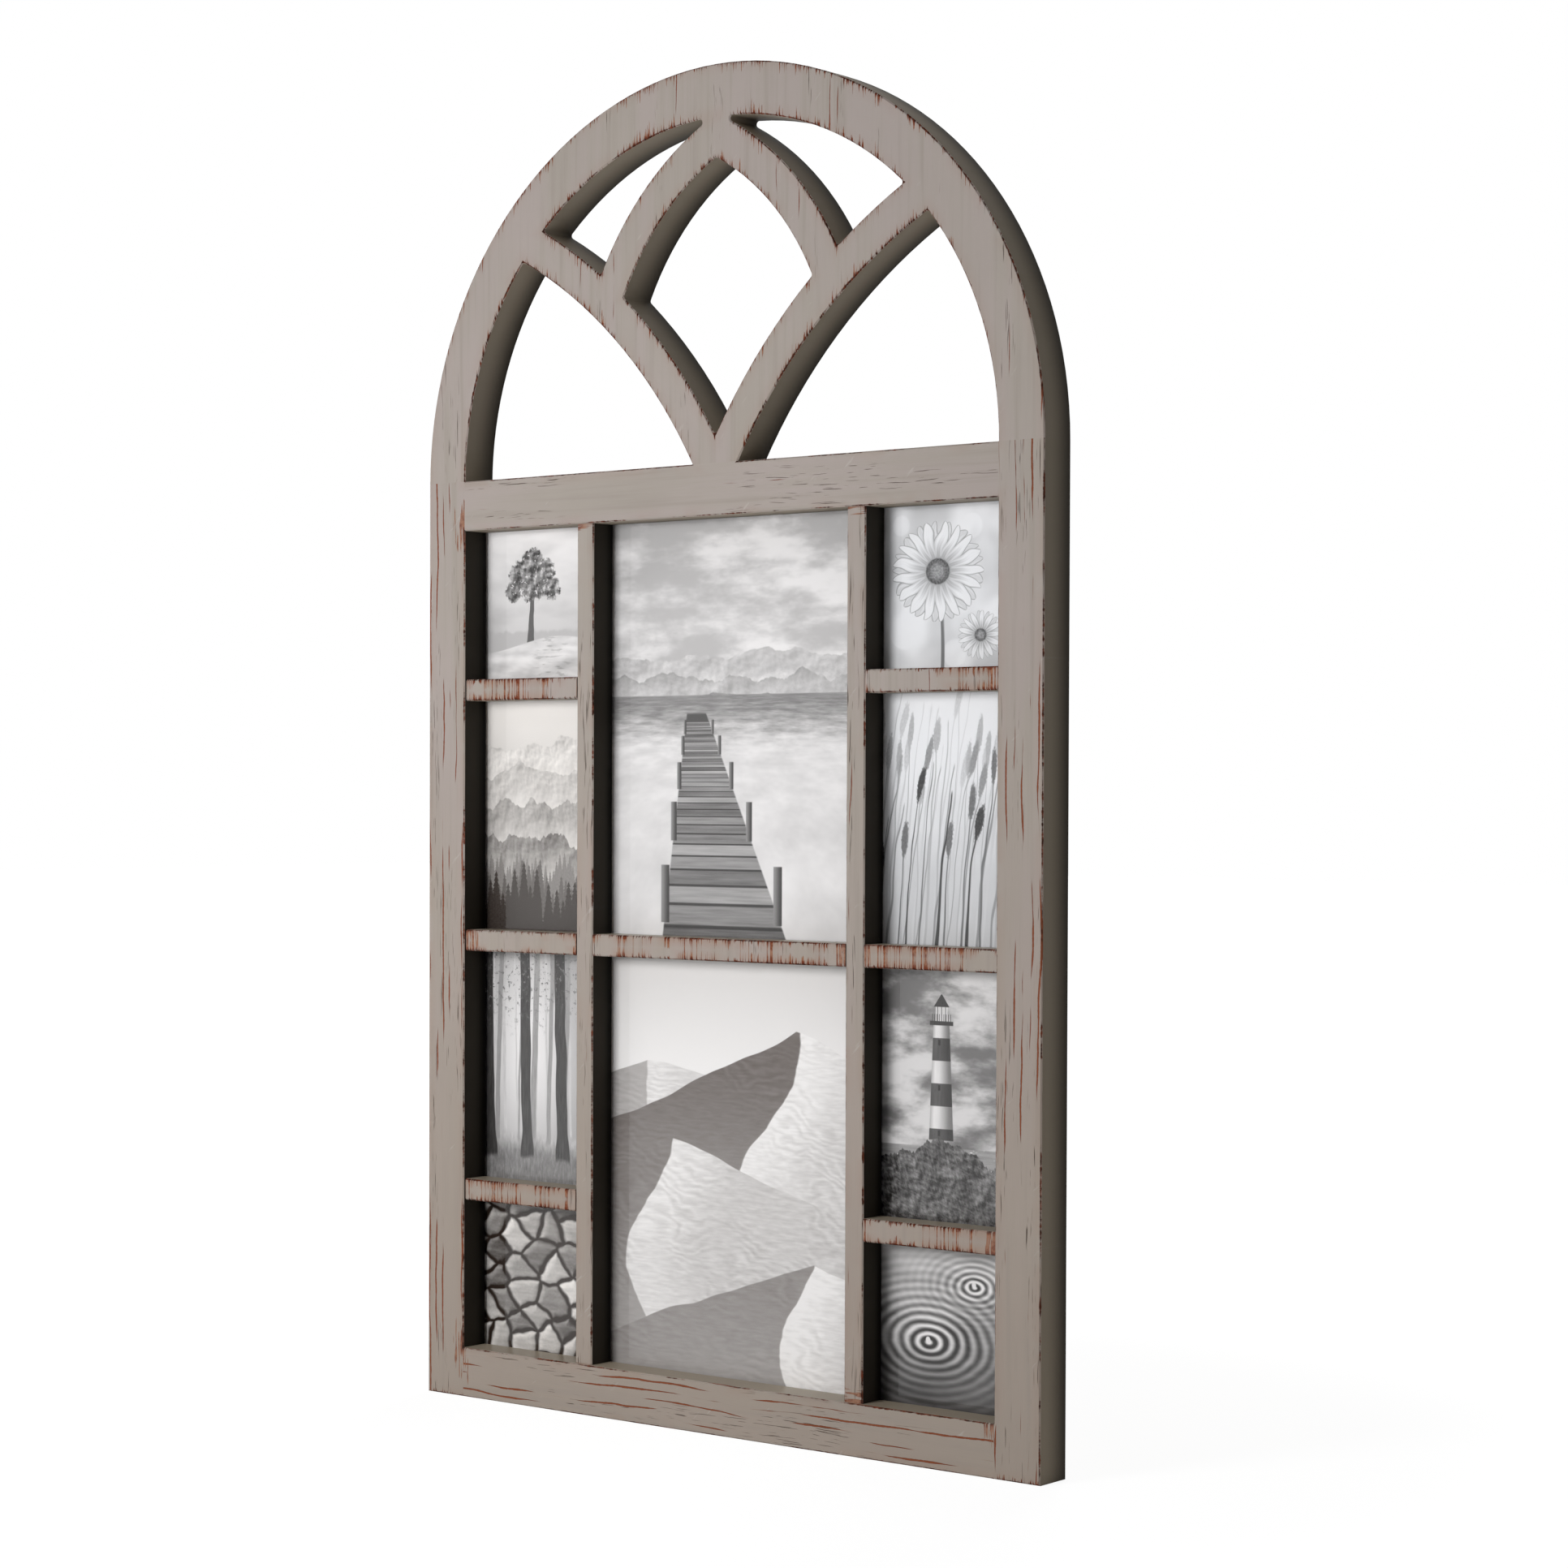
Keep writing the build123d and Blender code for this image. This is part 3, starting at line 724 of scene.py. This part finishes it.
def daisy(x, z):
    blur = noise(x * 0.025, z * 0.025, 95.0, 2.0)
    tone = blend(0.74, 1.0, smooth(blur, 0.3, 0.65))
    spots = ((-34.0, -26.0, 9.0), (14.0, 34.0, 7.0), (-36.0, 36.0, 6.0), (2.0, -38.0, 8.0))
    for spot_x, spot_z, size in spots:
        tone = tone + 0.07 * within(hypot(x - spot_x, z - spot_z) - size, 0.8)
    stem = within(abs(x + 8.0 + 0.1 * z + 0.0014 * z * z) - 1.2, 0.3) * within(z + 4.0, 1.0)
    tone = blend(tone, 0.3 + 0.3 * smooth(x + 8.0 + 0.1 * z, -1.0, 1.0), stem)
    for centre_x, centre_z, size, petals in ((20.0, -28.0, 16.0, 13), (-10.0, 9.0, 33.0, 17)):
        dx = x - centre_x
        dz = (z - centre_z) * 1.12
        span = hypot(dx, dz)
        sector = math.pi / petals
        for layer in (1, 0):
            wave = (noise(dx * 0.05, dz * 0.05, 96.0 + layer, 1.0) - 0.5) * 0.4
            swing = calc("ARCTAN2", dz, dx) + layer * sector + wave
            aside = calc("PINGPONG", swing + 4 * math.pi, sector) * span
            middle = 0.6 - 0.02 * layer
            along = (span / size - middle) / (0.98 - middle)
            half = size * 0.115 * calc("SQRT", most(1.0 - along * along, 0.0))
            petal = within(aside - half, 0.2) * within(abs(along) - 1.0, 0.02)
            crease = 0.1 * calc("SINE", aside / size * 90.0)
            rim = smooth(half - aside, 0.0, size * 0.03)
            tip = smooth(span / size, 0.2, 0.75)
            white = blend(0.66, 1.02, tip) - crease * (1.0 - tip * 0.6) - 0.14 * layer
            tone = blend(tone, blend(0.5, white, rim), petal)
        florets = noise(x * 0.8, z * 0.8, 97.0, 3.0)
        disc = blend(0.5, 0.18, smooth(span / size, 0.06, 0.26)) + (florets - 0.5) * 0.7
        tone = blend(tone, disc, within(span - size * 0.25, 0.6))
    return tone


def tall_grass(x, z):
    blur = noise(x * 0.02, z * 0.03, 100.0, 2.0)
    tone = blend(0.78, 1.0, smooth(z + (blur - 0.5) * 70.0, -60.0, 40.0))
    sun = smooth(hypot(x + 22.0, z - 40.0), 26.0, 0.0)
    tone = tone + 0.2 * sun
    rows = (
        (6.0, 1.0, 0.2, 0.82),
        (8.0, 0.9, 0.1, 0.68),
        (10.0, 1.1, 0.26, 0.5),
        (14.0, 1.2, 0.15, 0.32),
        (21.0, 1.5, 0.21, 0.1),
    )
    for number, (pitch, width, lean, level) in enumerate(rows):
        rise = z + 90.0
        sway = x - rise * lean * 0.3 - rise * rise * lean * 0.0022
        sway = sway + (noise(z * 0.015, x * 0.05, 102.0 + number) - 0.5) * 9.0
        column = calc("FLOOR", sway / pitch)
        top = 54.0 - 12.0 * number + 44.0 * (chance(column, 108.0 + number) - 0.5)
        thick = width * (0.5 + 0.6 * smooth(top - z, 0.0, 90.0))
        blade = bars(sway, pitch, thick, 104.0 + 3.0 * number)
        tone = blend(tone, level, blade * within(z - top, 2.0))
        middle = column + 0.3 + 0.4 * chance(column, 104.0 + 3.0 * number)
        ear = hypot((sway - middle * pitch) / 2.3, (z - top + 8.0) / 11.0)
        husk = noise(x * 1.1, z * 0.6, 118.0, 3.0)
        eared = smooth(chance(column, 114.0 + number), 0.3, 0.4)
        tone = blend(tone, level + 0.3 * (husk - 0.5), within(ear - 0.45 - husk * 0.9, 0.2) * eared)
    return tone


def lighthouse(x, z):
    cloud = noise(x * 0.02, z * 0.045, 120.0, 5.0, 0.58)
    tone = blend(0.33, 0.88, smooth(cloud, 0.36, 0.62))
    sea = -30.0
    wave = noise(x * 0.05, z * 0.45, 124.0, 5.0, 0.65)
    foam = smooth(noise(x * 0.07, z * 0.2, 125.0, 4.0, 0.7), 0.56, 0.64)
    tone = blend(tone, most(0.26 + 0.5 * wave, foam * 0.95), within(z - sea, 0.4))
    mid = x + 6.0
    height = z + 26.0
    half = 8.6 - height * 0.045
    turn = mid / half
    tower = within(abs(mid) - half, 0.3) * within(abs(height - 33.0) - 33.0, 0.4)
    band = within(calc("PINGPONG", height, 13.0) - 6.5, 0.3)
    round_shade = blend(1.0, 0.35, smooth(turn, -0.5, 1.0)) * blend(0.75, 1.0, smooth(turn, -1.0, -0.6))
    stain = noise(x * 0.4, z * 0.06, 127.0, 4.0)
    tone = blend(tone, (blend(0.98, 0.24, band) - 0.2 * (stain - 0.4)) * round_shade, tower)
    window = within(abs(mid + 1.5) - 0.8, 0.2) * within(calc("PINGPONG", height - 4.0, 13.0) - 1.6, 0.2)
    tone = blend(tone, 0.06, window * tower)
    gallery = within(abs(mid) - 8.2, 0.3) * within(abs(height - 67.0) - 1.2, 0.3)
    slat = within(calc("PINGPONG", mid, 0.8) - 0.2, 0.1)
    rail = within(abs(mid) - 7.6, 0.3) * within(abs(height - 70.0) - 2.2, 0.2) * slat
    lamp_room = within(abs(mid) - 4.2, 0.3) * within(abs(height - 72.0) - 4.6, 0.3)
    roof = within(abs(mid) - (84.0 - height) * 0.72, 0.3) * within(abs(height - 80.0) - 3.6, 0.3)
    pane = within(calc("PINGPONG", mid, 1.4) - 0.25, 0.1)
    tone = blend(tone, blend(0.85, 0.2, pane), lamp_room)
    tone = blend(tone, 0.1, most(gallery, roof, rail))
    rock_top = -46.0 + noise(x * 0.05, 0.0, 126.0, 6.0, 0.6) * 40.0 - abs(mid) * 0.3
    crag = relief(lambda u, v: noise(u * 0.045 + v * 0.02, v * 0.04, 128.0, 7.0, 0.62), x, z, 1.5)
    return blend(tone, 0.22 + crag * 3.4, within(z - rock_top, 0.4))


def water_rings(x, z):
    swell = noise(x * 0.02, z * 0.05, 131.0, 2.0)
    tone = blend(0.18, 0.72, smooth(z + (swell - 0.5) * 60.0, -55.0, 55.0))
    for centre_x, centre_z, decay, pitch in ((-14.0, -10.0, 26.0, 0.8), (18.0, 24.0, 14.0, 1.1)):
        span = hypot(x - centre_x, (z - centre_z) * 1.7)
        fade = calc("EXPONENT", -span / decay)
        light = smooth((x - centre_x) * 0.4 + (z - centre_z), -22.0, 22.0)
        wobble = noise(x * 0.05, z * 0.09, 133.0, 2.0) * 3.0
        crest = calc("SINE", (span + wobble) * pitch)
        tone = tone + crest * fade * blend(0.5, 0.95, light)
        tone = blend(tone, 1.0, within(hypot(x - centre_x + 0.6, z - centre_z - 1.5) - 1.6, 0.5))
    return tone + 0.3 * (noise(x * 0.03, z * 0.14, 130.0, 4.0, 0.6) - 0.5)


NEUTRAL_INK = (srgb(34, 31, 30), srgb(248, 246, 246))
COOL_INK = (srgb(34, 33, 34), srgb(246, 247, 250))
WARM_INK = (srgb(42, 31, 25), srgb(250, 246, 242))
SEPIA_INK = (srgb(64, 46, 34), srgb(250, 248, 247))

film_grain = 0.06
dark_rim = 0.05
print_contrast = 1.5
print_specular = 0.3


def print_material(name, node, picture, ink):
    """Photo paper with one picture on it, laid out about the middle of the sheet."""
    material, tree, shader = new_material(name)
    x, _, z = coordinates(tree)
    low, high = box_mm(node)
    x = x - (low.x + high.x) / 2
    z = z - (low.z + high.z) / 2
    film = noise(x * 2.2, z * 2.2, 200.0, 2.0, 0.7)
    rim = hypot(x / (high.x - low.x), z / (high.z - low.z))
    tone = picture(x, z) + (film - 0.5) * film_grain - dark_rim * smooth(rim, 0.35, 0.75)
    tone = least(most(tone, 0.0), 1.0)
    level = calc("POWER", tone, print_contrast)
    tree.links.new(paint_over(*ink, level).socket, shader.inputs["Base Color"])
    feed(shader.inputs["Roughness"], 0.32 + 0.1 * film)
    shader.inputs["Specular IOR Level"].default_value = print_specular
    add_bump(tree, shader, film * 0.01, 0.3)
    return material


def dress_prints():
    pictures = {
        "left_1": (lone_tree, NEUTRAL_INK),
        "left_2": (mountains, WARM_INK),
        "left_3": (misty_trunks, NEUTRAL_INK),
        "left_4": (cracked_clay, WARM_INK),
        "centre_1": (lake_jetty, NEUTRAL_INK),
        "centre_2": (dunes, SEPIA_INK),
        "right_1": (daisy, COOL_INK),
        "right_2": (tall_grass, COOL_INK),
        "right_3": (lighthouse, NEUTRAL_INK),
        "right_4": (water_rings, NEUTRAL_INK),
    }
    for place, (picture, ink) in pictures.items():
        dress(print_material("picture_" + place, "print_" + place, picture, ink), "print_" + place)


# Panes

glass_ior = 1.46


def pane_material():
    """Clear glass with a clean gloss on its outer faces."""
    material, tree, shader = new_material("pane_clear")
    x, _, z = coordinates(tree)
    tree.nodes.remove(shader)
    clear = tree.nodes.new("ShaderNodeBsdfTransparent")
    gloss = tree.nodes.new("ShaderNodeBsdfGlossy")
    smear = noise(x * 0.03, z * 0.03, 210.0, 3.0)
    feed(gloss.inputs["Roughness"], 0.02 + 0.05 * smear)
    fresnel = tree.nodes.new("ShaderNodeFresnel")
    fresnel.inputs["IOR"].default_value = glass_ior
    geometry = tree.nodes.new("ShaderNodeNewGeometry")
    share = Num(tree, fresnel.outputs[0]) * (1.0 - Num(tree, geometry.outputs["Backfacing"]))
    mix_shaders(tree, "Material Output", clear, gloss, share)
    return material


# Boards and steel

FIBRE_BROWN = srgb(118, 82, 55)
FIBRE_PALE = srgb(150, 110, 78)
FIBRE_DARK = srgb(86, 58, 38)
ZINC_GREY = srgb(178, 180, 184)
ZINC_BRIGHT = srgb(208, 209, 208)
ZINC_DULL = srgb(150, 148, 140)

board_specular = 0.3


def hardboard_material():
    """Brown pressed fibre with darker flecks."""
    material, tree, shader = new_material("hardboard_fibre")
    x, _, z = coordinates(tree)
    fleck = noise(x * 0.9, z * 0.9, 220.0, 4.0, 0.7)
    cloud = noise(x * 0.02, z * 0.02, 222.0, 3.0)
    hair = smooth(noise(x * 0.5 + z * 0.2, z * 0.06, 224.0, 4.0, 0.7), 0.58, 0.7)
    colour = paint_over(FIBRE_BROWN, FIBRE_PALE, fleck)
    colour = paint_over(colour, FIBRE_DARK, hair * 0.6)
    colour = shade(colour, 0.85 + 0.3 * cloud)
    tree.links.new(colour.socket, shader.inputs["Base Color"])
    feed(shader.inputs["Roughness"], 0.62 + 0.2 * fleck)
    shader.inputs["Specular IOR Level"].default_value = board_specular
    add_bump(tree, shader, fleck * 0.06 + hair * 0.04, 0.8)
    return material


def zinc_material():
    """Bright zinc plate with fine rolling lines and dull spots."""
    material, tree, shader = new_material("zinc_plate")
    x, _, z = coordinates(tree)
    brush = noise(x * 0.6, z * 7.0, 230.0, 3.0, 0.6)
    spot = noise(x * 0.25, z * 0.25, 232.0, 4.0, 0.6)
    colour = paint_over(ZINC_GREY, ZINC_BRIGHT, brush)
    colour = paint_over(colour, ZINC_DULL, smooth(spot, 0.55, 0.7) * 0.6)
    tree.links.new(colour.socket, shader.inputs["Base Color"])
    shader.inputs["Metallic"].default_value = 1.0
    feed(shader.inputs["Roughness"], 0.28 + 0.2 * spot)
    add_bump(tree, shader, brush * 0.02, 0.4)
    return material


# Studio, in metres

WHITE = (1.0, 1.0, 1.0, 1.0)
FLOOR_PALE = (0.8, 0.8, 0.8, 1.0)
floor_z = bottom_z / 1000
floor_reach = 12.0
floor_roughness = 0.9
fill_strength = 0.17

# Glow of the floor, and the share of it near the frame, where the shadow shows
floor_glow = 1.13
foot_glow = 0.82

# Name, place, diameter and power of each lamp, and the point that they all face
lamps = (
    ("key", (-0.24, -1.25, 0.04), 0.5, 11.3),
    ("top", (-0.4, -0.6, 2.6), 1.2, 3.0),
    ("back", (-0.5, 1.5, 0.5), 0.8, 11.0),
)
lamp_aim = (0.0, 0.0, -0.1)


def seen_rays(tree):
    """1 for rays that show a surface: from the camera, mirrored or through glass."""
    path = tree.nodes.new("ShaderNodeLightPath")
    kinds = ("Is Camera Ray", "Is Glossy Ray", "Is Transmission Ray")
    return most(*[Num(tree, path.outputs[kind]) for kind in kinds])


def build_floor():
    """White floor that keeps a faint shadow near the foot of the frame."""
    mesh = bpy.data.meshes.new("floor")
    signs = ((-1, -1), (1, -1), (1, 1), (-1, 1))
    corners = [(side * floor_reach, ahead * floor_reach, floor_z) for side, ahead in signs]
    mesh.from_pydata(corners, [], [(0, 1, 2, 3)])
    floor = bpy.data.objects.new("floor", mesh)
    bpy.context.collection.objects.link(floor)
    material, tree, shader = new_material("floor_white")
    shader.inputs["Base Color"].default_value = FLOOR_PALE
    shader.inputs["Roughness"].default_value = floor_roughness
    shader.inputs["Specular IOR Level"].default_value = 0.0
    glow = tree.nodes.new("ShaderNodeEmission")
    glow.inputs["Strength"].default_value = floor_glow
    x, y, _ = coordinates(tree)
    far = smooth(hypot(x, y), 350.0, 900.0)
    mix_shaders(tree, "Material Output", shader, glow, seen_rays(tree) * blend(foot_glow, 1.0, far))
    mesh.materials.append(material)


def build_world():
    """White to the camera and in reflections, and a dim fill for everything else."""
    world = bpy.data.worlds.new("studio")
    bpy.context.scene.world = world
    world.use_nodes = True
    tree = world.node_tree
    fill = tree.nodes["Background"]
    fill.inputs["Color"].default_value = WHITE
    fill.inputs["Strength"].default_value = fill_strength
    white = tree.nodes.new("ShaderNodeBackground")
    white.inputs["Color"].default_value = WHITE
    white.inputs["Strength"].default_value = 1.0
    mix_shaders(tree, "World Output", fill, white, seen_rays(tree))


def add_lamp(name, place, size, power):
    """A round lamp that faces the frame and shows in no reflection."""
    data = bpy.data.lights.new(name, "AREA")
    data.shape = "DISK"
    data.size = size
    data.energy = power
    lamp = bpy.data.objects.new(name, data)
    lamp.location = place
    aim = Vector(lamp_aim) - Vector(place)
    lamp.rotation_euler = aim.to_track_quat("-Z", "Y").to_euler()
    lamp.visible_glossy = False
    bpy.context.collection.objects.link(lamp)


# Camera: place in metres, direction in degrees, and its lens in pixels of the photograph
camera_place = (1.28217, -1.56991, -0.13725)
camera_azimuth = 38.499
camera_pitch = -1.015
camera_roll = 0.197
image_size = 1932
focal_pixels = 4163.9
centre_row = 1054.3
sensor_width = 36.0


def build_camera():
    data = bpy.data.cameras.new("camera")
    data.sensor_width = sensor_width
    data.lens = focal_pixels / image_size * sensor_width
    data.shift_y = (centre_row - image_size / 2) / image_size
    data.clip_end = 100.0
    camera = bpy.data.objects.new("camera", data)
    bpy.context.collection.objects.link(camera)
    turn = (
        Matrix.Rotation(math.radians(camera_azimuth), 4, "Z")
        @ Matrix.Rotation(math.radians(90 + camera_pitch), 4, "X")
        @ Matrix.Rotation(math.radians(camera_roll), 4, "Z")
    )
    camera.matrix_world = Matrix.Translation(camera_place) @ turn
    bpy.context.scene.camera = camera


def names_with(*starts):
    return [name for name in nodes if name.startswith(starts)]


dress_wood()
dress_prints()
dress(pane_material(), *names_with("glass_"))
dress(hardboard_material(), *names_with("back_board_"))
dress(zinc_material(), *names_with("button_", "hanger_"))
build_floor()
build_world()
for lamp in lamps:
    add_lamp(*lamp)
build_camera()
bpy.context.scene.view_settings.view_transform = "Standard"
